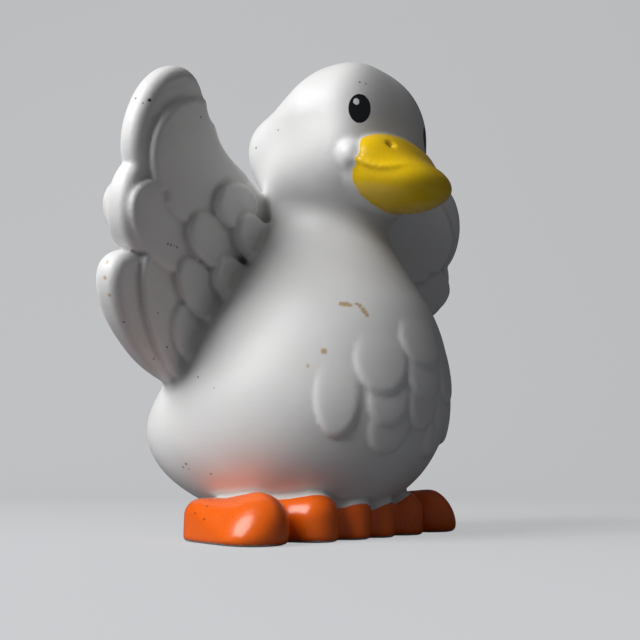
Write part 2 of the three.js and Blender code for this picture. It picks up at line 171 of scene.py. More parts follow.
def body_form(points):
    """Distance to the body, neck and head, negative inside."""
    lower = join(ellipsoid(points, belly, BELLY_HALF), ellipsoid(points, rump, RUMP_HALF), BODY_JOINT)
    neck = taper(points, breast, BREAST_RADIUS, throat, THROAT_RADIUS)
    narrowed = (points[0] / SKULL_BREADTH, points[1], points[2])
    skull = taper(narrowed, crown + (0, SKULL_BACK, 0), SKULL_RADIUS, nape, NAPE_RADIUS)
    face = ellipsoid(points, crown + FACE_OFFSET, FACE_HALF, 0, FACE_PLAN_POWER, FACE_RISE_POWER)
    skull = join(skull, face, FACE_JOINT)
    skull = join(skull, taper(points, nape, NAPE_RADIUS, throat, THROAT_RADIUS), JAW_JOINT)
    head = join(skull, ellipsoid(points, jaw, JAW_HALF), JAW_JOINT)
    return join(join(lower, neck, BODY_JOINT), head, HEAD_JOINT)


def on_body(start, direction):
    """Where a ray from inside the body leaves it."""
    near, far = 0, RAY_LENGTH
    for _ in range(RAY_HALVINGS):
        middle = (near + far) / 2
        inside = body_form(np.add(start, np.multiply(direction, middle))[:, None])[0] < 0
        near, far = (middle, far) if inside else (near, middle)
    return np.add(start, np.multiply(direction, near))


def bearing(turn, rise):
    """Direction to the duck's left front, by its turn from straight ahead and its rise, in degrees."""
    turn, rise = math.radians(turn), math.radians(rise)
    return np.array([math.sin(turn) * math.cos(rise), -math.cos(turn) * math.cos(rise), math.sin(rise)])


# Breast feathers.
# A bib of overlapping scales is sculpted into the breast. Each is a shallow step that fades out at its
# top, under the scale above it, and ends in a rounded lower edge.
BIB = [
    {"side": 4.2, "rise": -2.4, "half": (2.6, 3.0)},
    {"side": 9.9, "rise": 0.6, "half": (2.4, 4.3)},
    {"side": 4.9, "rise": 0.3, "half": (2.6, 2.9)},
    {"side": 5.8, "rise": 4.2, "half": (3.2, 3.6)},
    {"side": 0.0, "rise": 0.4, "half": (2.6, 2.9)},
    {"side": 0.0, "rise": 3.5, "half": (3.0, 3.0)},
    {"side": 0.0, "rise": 6.9, "half": (3.6, 3.2)},
]
BIB_HEIGHT = 0.2
BIB_LIFT = 0.26
BIB_ROUND = 0.9
BIB_REACH = 4
SLOPE_STEP = 0.8


def ellipse(u, w, middle, half, tilt=0):
    """Distance to an ellipse in its own plane, negative inside."""
    c, s = math.cos(math.radians(tilt)), math.sin(math.radians(tilt))
    u, w = u - middle[0], w - middle[1]
    u, w = u * c + w * s, w * c - u * s
    reach = np.sqrt((u / half[0]) ** 2 + (w / half[1]) ** 2)
    slope = np.sqrt((u / half[0] ** 2) ** 2 + (w / half[1] ** 2) ** 2)
    return reach * (reach - 1) / np.maximum(slope, TINY)


def bib_seat(scale):
    """A scale's place on the breast, with its directions across, up and into the skin."""
    start = np.array([scale["side"], belly[1], belly[2] + scale["rise"]])
    forward = (0, -1, 0)
    step_across, step_up = np.array([SLOPE_STEP, 0, 0]), np.array([0, 0, SLOPE_STEP])
    across = on_body(start + step_across, forward) - on_body(start - step_across, forward)
    upward = on_body(start + step_up, forward) - on_body(start - step_up, forward)
    across = across / np.linalg.norm(across)
    inward = np.cross(upward, across)
    inward = inward / np.linalg.norm(inward)
    return on_body(start, forward), across, np.cross(across, inward), inward


bib_seats = [bib_seat(scale) for scale in BIB]


def bib_relief(points):
    """Height of the bib's scales above the plain breast."""
    height = np.zeros(points[0].shape)
    for scale, (seat, across, upward, inward) in zip(BIB, bib_seats):
        offset = [points[i] - seat[i] for i in range(3)]
        u, w, depth = (sum(offset[i] * axis[i] for i in range(3)) for axis in (across, upward, inward))
        outline = ellipse(u, w, (0, 0), scale["half"])
        edge = np.clip(-outline / BIB_ROUND, 0, 1)
        edge = np.sqrt(1 - (1 - edge) ** 2)
        near = np.clip(BIB_REACH - np.abs(depth), 0, 1)
        height = np.maximum(height, near * edge * (BIB_HEIGHT - BIB_LIFT * w / scale["half"][1]))
    return height


# Cheeks and beak.
# A small round cheek swells behind each corner of the beak, and the face rises to a low lip round the
# beak's root. The beak is a thick blunt bill under a steep nose with two nostrils, and a thin rim that
# sags between its corner and its tip runs along each side.
CHEEK_HALF = (1.45, 1.4, 1.55)
CHEEK_TURN = 58
CHEEK_RISE = -39
CHEEK_SINK = 0.3
CHEEK_JOINT = 0.7
NOSE = {"offset": (0, -4.8, -6.1), "half": (6.9, 3.3, 3.4), "nod": 20}
BILL = {"offset": (0, -4.9, -8.1), "half": (5.8, 6.5, 3.0), "nod": 12}
BEAK_PLAN_POWER = 2.3
RIM_LOW = (8.1, 8.15)
RIM_SAG = 0.13
RIM_HEIGHT = 0.28
RIM_WIDTH = 0.45
RIM_END = 10.4
RIM_FADE = 2
NOSE_JOINT = 2.2
NOSTRIL_RADIUS = 0.36
NOSTRIL_JOINT = 0.5
NOSTRIL_SPREAD = 4.0
NOSTRIL_FORWARD = 2.2
SOCKET_WIDTH = 0.35
SOCKET_HEIGHT = 0.3
SOCKET_FADE = 0.15
SOCKET_JOINT = 0.4

cheek = on_body(crown, bearing(CHEEK_TURN, CHEEK_RISE)) - CHEEK_SINK * bearing(CHEEK_TURN, CHEEK_RISE)
nostril_up = NOSE["half"][2] * math.sqrt(
    1 - (NOSTRIL_SPREAD / NOSE["half"][0]) ** 2 - (NOSTRIL_FORWARD / NOSE["half"][1]) ** 2)
nose_cos, nose_sin = math.cos(math.radians(NOSE["nod"])), math.sin(math.radians(NOSE["nod"]))
nostril = crown + NOSE["offset"] + np.array([
    NOSTRIL_SPREAD,
    -NOSTRIL_FORWARD * nose_cos - nostril_up * nose_sin,
    -NOSTRIL_FORWARD * nose_sin + nostril_up * nose_cos,
])


def cheek_form(points):
    """Distance to the left cheek, negative inside."""
    return ellipsoid(points, cheek, CHEEK_HALF)


def beak_form(points):
    """Distance to the beak, negative inside."""
    nose = ellipsoid(points, crown + NOSE["offset"], NOSE["half"], NOSE["nod"], BEAK_PLAN_POWER)
    bill = ellipsoid(points, crown + BILL["offset"], BILL["half"], BILL["nod"], BEAK_PLAN_POWER)
    forward = crown[1] - points[1]
    height = points[2] - crown[2] + RIM_LOW[1] - RIM_SAG * (forward - RIM_LOW[0]) ** 2
    fade = np.clip((RIM_END - forward) / RIM_FADE, 0, 1)
    rim = RIM_HEIGHT * fade * np.maximum(1 - (height / RIM_WIDTH) ** 2, 0)
    solid = join(nose, bill, NOSE_JOINT) - rim
    return carve(solid, ellipsoid(points, nostril, (NOSTRIL_RADIUS,) * 3), NOSTRIL_JOINT)


# Wings.
# Each wing is a plate that leans and sweeps forward, with three long feathers at its edge, three
# coverts over them and rows of short scales by the shoulder. Every feather is a low pad on both faces,
# higher at its outer lower edge and lower where the one above covers it.
WING_BACK = 8.8
WING_HEIGHT = 29.45
WING_LEAN = math.radians(15.6)
WING_SWEEP = math.radians(13)
WING_HALF_THICKNESS = 1.25
PLATE_ROUND = 1.1
COVERT_ROUND = 0.5
COVERT_SETBACK = 0.2
SCALE_ROUND = 0.5
FEATHER_RISE = math.radians(-50)
FEATHER_LIFT = 0.38
FEATHER_JOINT = 0.2
LEADING_EDGE_JOINT = 10
LEADING_EDGE_FADE = 6
LEADING_EDGE_LEAST = 0.01
WING_JOINT = 1.5
SHOULDER = {"middle": (13.5, 2.8), "half": (11.5, 9.1), "tilt": 2}
LONG_FEATHERS = [
    {"middle": (25.2, 11.9), "half": (4.9, 6.5), "tilt": 10, "step": 0.1},
    {"middle": (25.1, 4.3), "half": (4.4, 5.3), "tilt": -6, "step": 0.05},
    {"middle": (17.9, -7.2), "half": (11.3, 4.9), "tilt": 25, "step": 0.0},
]
COVERTS = [
    {"middle": (19.5, 10.1), "half": (8.7, 6.6), "tilt": 0, "step": 0.5},
    {"middle": (21.5, 2.6), "half": (7.6, 4.2), "tilt": 12, "step": 0.55},
    {"middle": (18.0, -6.1), "half": (8.8, 4.2), "tilt": 43, "step": 0.55},
]
SCALES = [
    {"middle": (12.9, 7.6), "half": (4.3, 2.6), "tilt": -11, "step": 1.15},
    {"middle": (15.1, 2.9), "half": (5.3, 2.8), "tilt": 6, "step": 1.1},
    {"middle": (15.3, -2.7), "half": (5.3, 2.6), "tilt": 21, "step": 1.05},
    {"middle": (15.4, -7.4), "half": (4.0, 2.6), "tilt": 33, "step": 1.0},
    {"middle": (8.9, 4.8), "half": (4.2, 2.5), "tilt": 10, "step": 1.75},
    {"middle": (11.6, -0.4), "half": (3.2, 2.4), "tilt": 8, "step": 1.7},
]


def pad(outline, depth, half_thickness, edge_round):
    """Distance to a flat pad over an outline, the same on both sides, with rounded edges."""
    side = outline + edge_round
    face = np.abs(depth) - (half_thickness - edge_round)
    outside = np.hypot(np.maximum(side, 0), np.maximum(face, 0))
    return outside + np.minimum(np.maximum(side, face), 0) - edge_round


def wing_form(points):
    """Distance to the left wing with all its feathers, negative inside."""
    side, back, up = points[0], points[1] - WING_BACK, points[2] - WING_HEIGHT
    u = side * math.cos(WING_SWEEP) - back * math.sin(WING_SWEEP)
    back = side * math.sin(WING_SWEEP) + back * math.cos(WING_SWEEP)
    w = up * math.cos(WING_LEAN) - back * math.sin(WING_LEAN)
    depth = back * math.cos(WING_LEAN) + up * math.sin(WING_LEAN)
    tip = LONG_FEATHERS[0]
    shoulder = ellipse(u, w, SHOULDER["middle"], SHOULDER["half"], SHOULDER["tilt"])
    top = ellipse(u, w, tip["middle"], tip["half"], tip["tilt"])
    fade = np.clip((tip["middle"][0] - u) / LEADING_EDGE_FADE, LEADING_EDGE_LEAST, 1)
    edge = join(top, shoulder, LEADING_EDGE_JOINT * fade)
    solid = pad(edge, depth, WING_HALF_THICKNESS + tip["step"], PLATE_ROUND)
    rows = ((LONG_FEATHERS[1:], PLATE_ROUND), (COVERTS, COVERT_ROUND), (SCALES, SCALE_ROUND))
    for feathers, edge_round in rows:
        for feather in feathers:
            outline = ellipse(u, w, feather["middle"], feather["half"], feather["tilt"])
            run = (u - feather["middle"][0]) * math.cos(FEATHER_RISE)
            run = run + (w - feather["middle"][1]) * math.sin(FEATHER_RISE)
            lift = FEATHER_LIFT * np.clip(run / min(feather["half"]), -1, 1)
            half = WING_HALF_THICKNESS + feather["step"] + lift
            if feather is COVERTS[0]:
                outline = np.maximum(outline, edge + COVERT_SETBACK)
            solid = join(solid, pad(outline, depth, half, edge_round), FEATHER_JOINT)
    return solid


# Tail.
# Three short feathers fan out at the back of the rump and turn up. The photograph doesn't show them.
TAIL_HALF = (3, 6.6, 2.5)
TAIL_RISE = math.radians(32)
TAIL_BEARING = math.radians(20)
TAIL_FAN = math.radians(21)
TAIL_SINK = 3
TAIL_SEAT = 2
TAIL_JOINT = 0.5
TAIL_ROOT_JOINT = 2.5

tail_direction = np.array([0, math.cos(TAIL_BEARING), math.sin(TAIL_BEARING)])
tail_root = on_body(rump, tail_direction) - TAIL_SINK * tail_direction


def tail_form(points):
    """Distance to the tail, negative inside."""
    x, y, z = (points[i] - tail_root[i] for i in range(3))
    c, s = math.cos(TAIL_RISE), math.sin(TAIL_RISE)
    along, up = y * c + z * s, z * c - y * s
    solid = ellipsoid((x, along, up), (0, TAIL_SEAT, 0), TAIL_HALF)
    side = np.abs(x)
    out = side * math.cos(TAIL_FAN) - along * math.sin(TAIL_FAN)
    run = along * math.cos(TAIL_FAN) + side * math.sin(TAIL_FAN)
    return join(solid, ellipsoid((out, run, up), (0, TAIL_SEAT, 0), TAIL_HALF), TAIL_JOINT)


# Feet.
# Three thick toes on each side stick out in front of the belly. They rise a little to the knuckle near
# their rounded tips and fall away on their outer side. A sole under the belly joins the feet, and the
# underside is flat.
TOES = [
    {"heel": (12.5, 2.2), "tip": (14.8, -4.4), "radius": (4.2, 3.5), "round": (1.7, 3.2), "fall": 0.5},
    {"heel": (8.5, 1.0), "tip": (7.5, -5.7), "radius": (4.0, 2.6), "round": (2, 2.4), "fall": 0.1},
    {"heel": (4.5, 0.0), "tip": (2.2, -6.3), "radius": (3.5, 2.1), "round": (2, 2), "fall": 0.1},
]
HEEL_HEIGHT = 4.3
KNUCKLE_HEIGHT = 5
TOE_BELOW = 2
TOE_JOINT = 1.1
SOLE_HALF = (12, 7)
SOLE_HEIGHT = 3.4
FOOT_JOINT = 0.5
UNDERSIDE_ROUND = 0.6


def foot_form(points):
    """Distance to the left foot and the sole, negative inside."""
    side, y, z = points
    outline = ellipse(side, y, (0, 0), SOLE_HALF)
    solid = pad(outline, z, SOLE_HEIGHT, UNDERSIDE_ROUND)
    level = np.zeros(side.shape)
    for toe in TOES:
        heel_radius, tip_radius = toe["radius"]
        outline = taper((side, y, level), (*toe["heel"], 0), heel_radius, (*toe["tip"], 0), tip_radius)
        share = np.clip((toe["heel"][1] - y) / (toe["heel"][1] - toe["tip"][1]), 0, 1)
        outer = side - toe["heel"][0] - (toe["tip"][0] - toe["heel"][0]) * share
        height = HEEL_HEIGHT + (KNUCKLE_HEIGHT - HEEL_HEIGHT) * share
        height = height - toe["fall"] * share * np.maximum(outer, 0)
        middle, half = (height - TOE_BELOW) / 2, (height + TOE_BELOW) / 2
        edge_round = toe["round"][0] + (toe["round"][1] - toe["round"][0]) * share
        solid = join(solid, pad(outline, z - middle, half, edge_round), TOE_JOINT)
    return solid


# Moulding.
# The forms are joined into one closed skin. A slow waver of a few hundredths of a millimetre keeps it
# from being as true as a turned part.
WAVER = 0.05
WAVER_LENGTH = 11
WAVER_ROWS = [
    {"along": (1, 0.4, 0), "shift": 0},
    {"along": (0, 0.9, -0.5), "shift": 2},
    {"along": (0.3, 0, 0.8), "shift": 0},
]
BEAK_SEAM = 0.35
CELL = 0.345
MARGIN = 1.5
ROUGH_STEP = 4
NEAR_STEPS = 2
SETTLE_ROUNDS = 2
SETTLE_STEP = CELL / 4
SETTLE_MOST = CELL / 3
SLOPE_LEAST = 0.25


def white_form(points):
    """Everything but the beak and the feet."""
    mirrored = (np.abs(points[0]), points[1], points[2])
    solid = body_form(mirrored) - bib_relief(mirrored)
    above = np.maximum(points[2] - crown[2] - BILL["offset"][2], 0)
    lip = SOCKET_HEIGHT - SOCKET_FADE * above
    socket = -join(SOCKET_WIDTH - beak_form(mirrored), lip - body_form(mirrored), SOCKET_JOINT)
    solid = join(solid, socket, SOCKET_JOINT)
    solid = join(solid, cheek_form(mirrored), CHEEK_JOINT)
    solid = join(solid, tail_form(mirrored), TAIL_ROOT_JOINT)
    return join(solid, wing_form(mirrored), WING_JOINT)


def duck_form(points):
    """Distance to the whole duck, negative inside."""
    mirrored = (np.abs(points[0]), points[1], points[2])
    solid = join(white_form(mirrored), beak_form(mirrored), BEAK_SEAM)
    solid = join(solid, foot_form(mirrored), FOOT_JOINT)
    wave = 2 * math.pi / WAVER_LENGTH
    waver = 1
    for row in WAVER_ROWS:
        run = sum(points[i] * row["along"][i] for i in range(3)) + row["shift"]
        waver = waver * np.sin(wave * run)
    return carve(solid + WAVER * waver, points[2], UNDERSIDE_ROUND)


def skin_mesh(form, low, high, cell):
    """Points and faces of a form's skin, one point for each cell of a grid that the skin crosses."""
    axes = [np.arange(low[i], high[i] + cell, cell) for i in range(3)]
    rough_axes = [axis[::ROUGH_STEP] for axis in axes]
    value = form(tuple(g.ravel() for g in np.meshgrid(*rough_axes, indexing="ij")))
    value = value.reshape([len(axis) for axis in rough_axes])
    for i in range(3):
        value = np.repeat(value, ROUGH_STEP, i)
    value = value[:len(axes[0]), :len(axes[1]), :len(axes[2])]
    near = np.abs(value) < NEAR_STEPS * ROUGH_STEP * cell
    places = np.argwhere(near)
    value[near] = form(tuple(axes[i][places[:, i]] for i in range(3)))
    solid = value < 0
    counts = [n - 1 for n in value.shape]
    corners = [(i, j, k) for i in (0, 1) for j in (0, 1) for k in (0, 1)]
    filled = sum(
        solid[i:counts[0] + i, j:counts[1] + j, k:counts[2] + k].astype(int) for i, j, k in corners)
    cells = np.argwhere((filled > 0) & (filled < len(corners)))
    number = np.full(counts, -1)
    number[tuple(cells.T)] = np.arange(len(cells))
    total = np.zeros((len(cells), 3))
    crossings = np.zeros(len(cells))
    for axis in range(3):
        for corner in corners:
            if corner[axis]:
                continue
            end = list(corner)
            end[axis] = 1
            first = value[tuple((cells + corner).T)]
            second = value[tuple((cells + end).T)]
            crossed = (first < 0) != (second < 0)
            place = np.tile(np.array(corner, float), (len(cells), 1))
            place[:, axis] = np.where(crossed, first / np.where(crossed, first - second, 1), 0)
            total += place * crossed[:, None]
            crossings += crossed
    points = np.array(low) + cell * (cells + total / crossings[:, None])
    faces = []
    for axis in range(3):
        second, third = (axis + 1) % 3, (axis + 2) % 3
        here = [slice(1, -1)] * 3
        there = [slice(1, -1)] * 3
        here[axis] = slice(0, -1)
        there[axis] = slice(1, None)
        for first_solid in (True, False):
            starts = solid[tuple(here)] == first_solid
            turns = solid[tuple(there)] != first_solid
            edges = np.argwhere(starts & turns)
            edges[:, second] += 1
            edges[:, third] += 1
            ring = []
            for step in ((0, 0), (-1, 0), (-1, -1), (0, -1)):
                around = edges.copy()
                around[:, second] += step[0]
                around[:, third] += step[1]
                ring.append(number[tuple(around.T)])
            ring = np.stack(ring, 1)
            faces.append(ring if first_solid else ring[:, ::-1])
    return points, np.vstack(faces)


def slopes(form, points, step):
    """How fast a form's distance changes along each axis."""
    rates = []
    for axis in range(3):
        shift = np.zeros(3)
        shift[axis] = step
        ahead = form(tuple((points + shift).T))
        behind = form(tuple((points - shift).T))
        rates.append((ahead - behind) / (2 * step))
    return np.stack(rates, 1)


grid_low = np.array(cad_low) / METRE - MARGIN
grid_high = np.array(cad_high) / METRE + MARGIN
skin_points, skin_faces = skin_mesh(duck_form, grid_low, grid_high, CELL)
for _ in range(SETTLE_ROUNDS):
    rate = slopes(duck_form, skin_points, SETTLE_STEP)
    move = -duck_form(tuple(skin_points.T)) / np.maximum((rate ** 2).sum(1), SLOPE_LEAST)
    skin_points += np.clip(move[:, None] * rate, -SETTLE_MOST, SETTLE_MOST)

skin = bpy.data.meshes.new("duck_skin")
skin.from_pydata((skin_points * METRE).tolist(), [], skin_faces.tolist())
skin.polygons.foreach_set("use_smooth", np.ones(len(skin.polygons), bool))
duck = bpy.data.objects.new("duck_skin", skin)
bpy.context.collection.objects.link(duck)
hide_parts("duck_figurine")
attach(duck, "root")


# Paint masks.
# The beak and feet are sprayed through masks, so their paint ends in a clean line close to the joint
# with the white vinyl. Eyes are printed ovals with a white dot. Each border is kept as a distance in
# millimetres on the skin's points, positive on the painted side.
EYE_TURN = 51
EYE_RISE = -8
PRINT_RISE = -22
EYE_HALF = (1.22, 1.56)
GLINT_OFFSET = (-0.35, 0.72)
GLINT_RADIUS = 0.36
EYE_DEPTH = 3
HOLLOW_ROUNDS = 4


def skin_value(name, values):
    """Keeps one value for each point of the skin under a name that the material reads."""
    attribute = skin.attributes.new(name, "FLOAT", "POINT")
    attribute.data.foreach_set("value", values.astype(np.float32))


at_skin = (np.abs(skin_points[:, 0]), skin_points[:, 1], skin_points[:, 2])
to_white, to_beak, to_foot = white_form(at_skin), beak_form(at_skin), foot_form(at_skin)
skin_value("beak_paint", to_white - to_beak)
skin_value("foot_paint", np.minimum(to_white, to_beak) - to_foot)

# An eye sits where its bearing from the crown leaves the head. Its oval is printed along a lower one.
eye_place = on_body(crown, bearing(EYE_TURN, EYE_RISE))
eye_out = bearing(EYE_TURN, PRINT_RISE)
eye_side = np.cross(eye_out, (0, 0, 1))
eye_side = eye_side / np.linalg.norm(eye_side)
eye_up = np.cross(eye_side, eye_out)
to_eye = np.stack(at_skin, 1) - eye_place
eye_u, eye_w, eye_depth = to_eye @ eye_side, to_eye @ eye_up, np.abs(to_eye @ eye_out)
eye_edge = ellipse(eye_u, eye_w, (0, 0), EYE_HALF)
skin_value("eye_print", np.where(eye_depth < EYE_DEPTH, -eye_edge, -EYE_DEPTH))
glint_edge = np.hypot(eye_u - GLINT_OFFSET[0], eye_w - GLINT_OFFSET[1]) - GLINT_RADIUS
skin_value("eye_glint", np.where(eye_depth < EYE_DEPTH, -glint_edge, -EYE_DEPTH))

# Hollows, where the material paints shade: how far a point lies below its neighbours.
ends = np.vstack([skin_faces[:, [i, (i + 1) % 4]] for i in range(4)])


def neighbour_mean(values):
    """Mean of the values at each point's neighbours on the skin."""
    total = np.zeros_like(values)
    np.add.at(total, ends[:, 0], values[ends[:, 1]])
    count = np.bincount(ends[:, 0], minlength=len(values))
    return (total.T / count).T


outward = slopes(duck_form, skin_points, CELL)
outward = outward / np.linalg.norm(outward, axis=1)[:, None]
hollow = ((neighbour_mean(skin_points) - skin_points) * outward).sum(1) / CELL
for _ in range(HOLLOW_ROUNDS):
    hollow = (hollow + neighbour_mean(hollow)) / 2
skin_value("hollow", hollow)


# Vinyl and paint.
# Soft PVC out of the mould: a satin white skin with a faint mottle, painted shade in its hollows, a
# few dark specks and some yellow-brown rubs. The beak and feet carry a thin glossy coat of spray
# paint. The skin's own grain is too fine to show, so it is drawn coarser.
WHITE_VINYL = "E6E6E7"
MOTTLED_VINYL = "DCDBD8"
# Painted shade: the hollows' darker colour stands in for shade, not for dirt.
HOLLOW_SHADE = "A7A39B"
SPECK = "3A3733"
RUB = "B58A34"
BEAK_YELLOW = "F6D30A"
BEAK_AMBER = "E9B804"
FOOT_ORANGE = "F36E14"
FOOT_RED = "E65C0A"
EYE_BLACK = "16171B"
GLINT_WHITE = "E8E8EA"
MOTTLE_SIZE = 7
MOTTLE_DETAIL = 4
GRAIN_SIZE = 0.5
GRAIN_DETAIL = 3
NOISE_ROUGHNESS = 0.6
WANDER_SIZE = 10 / 11
WANDER_DETAIL = 3
NOISE_LOW = 0.3
NOISE_HIGH = 0.7
MASK_WANDER = 0.05
MARK_WANDER = 0.08
MASK_SOFTNESS = 0.06
BEAK_LEDGE = 0.12
FOOT_LEDGE = 0.75
FOOT_RIM = 0.2
EYE_SOFTNESS = 0.03
RUB_SOFTNESS = 0.12
RUB_STRENGTH = 0.75
SPECK_SOFTNESS = 0.06
HOLLOW_LOW = 0.01
HOLLOW_HIGH = 0.09
HOLLOW_SHADE_STRENGTH = 0.4
SATIN_ROUGHNESS = (0.42, 0.52)
GLOSS_ROUGHNESS = (0.2, 0.32)
GRAIN_HEIGHT = 0.03
COAT_HEIGHT = 0.05
BUMP_STRENGTH = 0.5
VINYL_IOR = 1.52
SCATTER_SHARE = 0.12
SCATTER_DEPTH = 0.8
SCATTER_TINT = (1, 0.8, 0.65)
CAST_STEPS = 150
CAST_SHARE = 0.7

# Marks by their place in the photograph's frame, in pixels, with their radius in millimetres.
SPECKS = [
    (150, 100, 0.17), (136, 98, 0.09), (143, 103, 0.08), (201, 117, 0.1), (124, 322, 0.11),
    (158, 313, 0.1), (167, 347, 0.1), (154, 359, 0.09), (197, 332, 0.09), (198, 377, 0.11),
    (214, 388, 0.1), (360, 82, 0.1), (366, 84, 0.08), (256, 148, 0.11), (278, 130, 0.08),
    (186, 464, 0.13), (183, 467, 0.11), (189, 469, 0.1), (211, 474, 0.11), (195, 513, 0.11),
    (207, 506, 0.1), (204, 519, 0.09), (168, 244, 0.09), (171, 245, 0.09), (174, 246, 0.09),
    (177, 247, 0.09),
]
RUBS = [
    (341, 304, 0.22), (344, 304, 0.26), (347, 304, 0.26), (350, 305, 0.22), (357, 304, 0.22),
    (360, 306, 0.26), (363, 309, 0.28), (365, 312, 0.28), (367, 315, 0.24), (324, 351, 0.3),
    (308, 366, 0.16), (107, 262, 0.16), (105, 278, 0.18), (109, 295, 0.16),
]


def linear(colour):
    """A shader's colour from an sRGB hex value."""
    parts = [int(colour[i:i + 2], 16) / 255 for i in (0, 2, 4)]
    return [c / 12.92 if c <= 0.04045 else ((c + 0.055) / 1.055) ** 2.4 for c in parts] + [1]


def add_node(tree, kind, inputs=None, **settings):
    """Adds a node with its settings, and sets or links its inputs."""
    node = tree.nodes.new(kind)
    for name, value in settings.items():
        setattr(node, name, value)
    for key, value in (inputs or {}).items():
        if isinstance(value, bpy.types.NodeSocket):
            tree.links.new(value, node.inputs[key])
        else:
            node.inputs[key].default_value = value
    return node


def on_skin(pixels):
    """The points of the skin behind some pixels of the photograph's frame."""
    across, down = (np.array(pixels) - FRAME_PIXELS / 2).T
    rays = np.outer(across, camera_right) - np.outer(down, camera_up) - FOCAL_PIXELS * camera_back
    rays = rays / np.linalg.norm(rays, axis=1)[:, None]
    places = np.tile(camera_place, (len(rays), 1))
    for _ in range(CAST_STEPS):
        places = places + CAST_SHARE * rays * duck_form(tuple(places.T))[:, None]
    return places


vinyl = bpy.data.materials.new("soft_vinyl_painted")
vinyl.use_nodes = True
tree = vinyl.node_tree
shader = tree.nodes["Principled BSDF"]
place = add_node(tree, "ShaderNodeTexCoord").outputs["Object"]
place = add_node(
    tree, "ShaderNodeVectorMath", {0: place, "Scale": 1 / METRE}, operation="SCALE").outputs[0]

mottle = add_node(tree, "ShaderNodeTexNoise", {
    "Vector": place,
    "Scale": 1 / MOTTLE_SIZE,
    "Detail": MOTTLE_DETAIL,
    "Roughness": NOISE_ROUGHNESS,
}).outputs[0]
grain = add_node(tree, "ShaderNodeTexNoise", {
    "Vector": place,
    "Scale": 1 / GRAIN_SIZE,
    "Detail": GRAIN_DETAIL,
    "Roughness": NOISE_ROUGHNESS,
}).outputs[0]
wander = add_node(tree, "ShaderNodeTexNoise", {
    "Vector": place,
    "Scale": 1 / WANDER_SIZE,
    "Detail": WANDER_DETAIL,
}).outputs[0]
wander = add_node(tree, "ShaderNodeMapRange", {
    "Value": wander,
    "From Min": NOISE_LOW,
    "From Max": NOISE_HIGH,
    "To Min": -MASK_WANDER,
    "To Max": MASK_WANDER,
}).outputs[0]
fray = add_node(tree, "ShaderNodeMapRange", {
    "Value": grain,
    "From Min": NOISE_LOW,
    "From Max": NOISE_HIGH,
    "To Min": -MARK_WANDER,
    "To Max": MARK_WANDER,
}).outputs[0]


def painted(border, ledge):
    """Share of paint at a border, with the small wander and softness of a sprayed edge."""
    border = add_node(tree, "ShaderNodeMath", {0: border, 1: wander}, operation="ADD").outputs[0]
    return add_node(tree, "ShaderNodeMapRange", {
        "Value": border,
        "From Min": ledge - MASK_SOFTNESS,
        "From Max": ledge + MASK_SOFTNESS,
    }).outputs[0]


def printed(attribute):
    """Share of the eye's print at a border."""
    border = add_node(tree, "ShaderNodeAttribute", attribute_name=attribute).outputs["Fac"]
    return add_node(tree, "ShaderNodeMapRange", {
        "Value": border,
        "From Min": -EYE_SOFTNESS,
        "From Max": EYE_SOFTNESS,
    }).outputs[0]


def marked(marks, softness):
    """Share of the skin inside any of the marks."""
    nearest = None
    spots = on_skin([mark[:2] for mark in marks])
    for spot, (_, _, radius) in zip(spots, marks):
        gap = add_node(
            tree, "ShaderNodeVectorMath", {0: place, 1: spot.tolist()}, operation="DISTANCE")
        gap = add_node(
            tree, "ShaderNodeMath", {0: gap.outputs["Value"], 1: radius}, operation="SUBTRACT").outputs[0]
        if nearest is not None:
            gap = add_node(tree, "ShaderNodeMath", {0: nearest, 1: gap}, operation="MINIMUM").outputs[0]
        nearest = gap
    nearest = add_node(tree, "ShaderNodeMath", {0: nearest, 1: fray}, operation="ADD").outputs[0]
    return add_node(tree, "ShaderNodeMapRange", {
        "Value": nearest,
        "From Min": softness,
        "From Max": -softness,
    }).outputs[0]


# Painted shade: the skin darkens towards this colour by how deep its hollows lie.
hollow_shade_share = add_node(tree, "ShaderNodeAttribute", attribute_name="hollow").outputs["Fac"]
hollow_shade_share = add_node(tree, "ShaderNodeMapRange", {
    "Value": hollow_shade_share,
    "From Min": HOLLOW_LOW,
    "From Max": HOLLOW_HIGH,
    "To Max": HOLLOW_SHADE_STRENGTH,
}).outputs[0]
rub_share = marked(RUBS, RUB_SOFTNESS)
rub_share = add_node(
    tree, "ShaderNodeMath", {0: rub_share, 1: RUB_STRENGTH}, operation="MULTIPLY").outputs[0]
speck_share = marked(SPECKS, SPECK_SOFTNESS)
beak_border = add_node(tree, "ShaderNodeAttribute", attribute_name="beak_paint").outputs["Fac"]
beak_share = painted(beak_border, BEAK_LEDGE)

# The paint on the feet ends below the joint with the belly and a little above the ground.
foot_border = add_node(tree, "ShaderNodeAttribute", attribute_name="foot_paint").outputs["Fac"]
foot_share = painted(foot_border, FOOT_LEDGE)
height = add_node(tree, "ShaderNodeSeparateXYZ", {0: place}).outputs["Z"]
rim_share = painted(height, FOOT_RIM)
foot_share = add_node(
    tree, "ShaderNodeMath", {0: foot_share, 1: rim_share}, operation="MULTIPLY").outputs[0]
eye_share = printed("eye_print")
glint_share = printed("eye_glint")
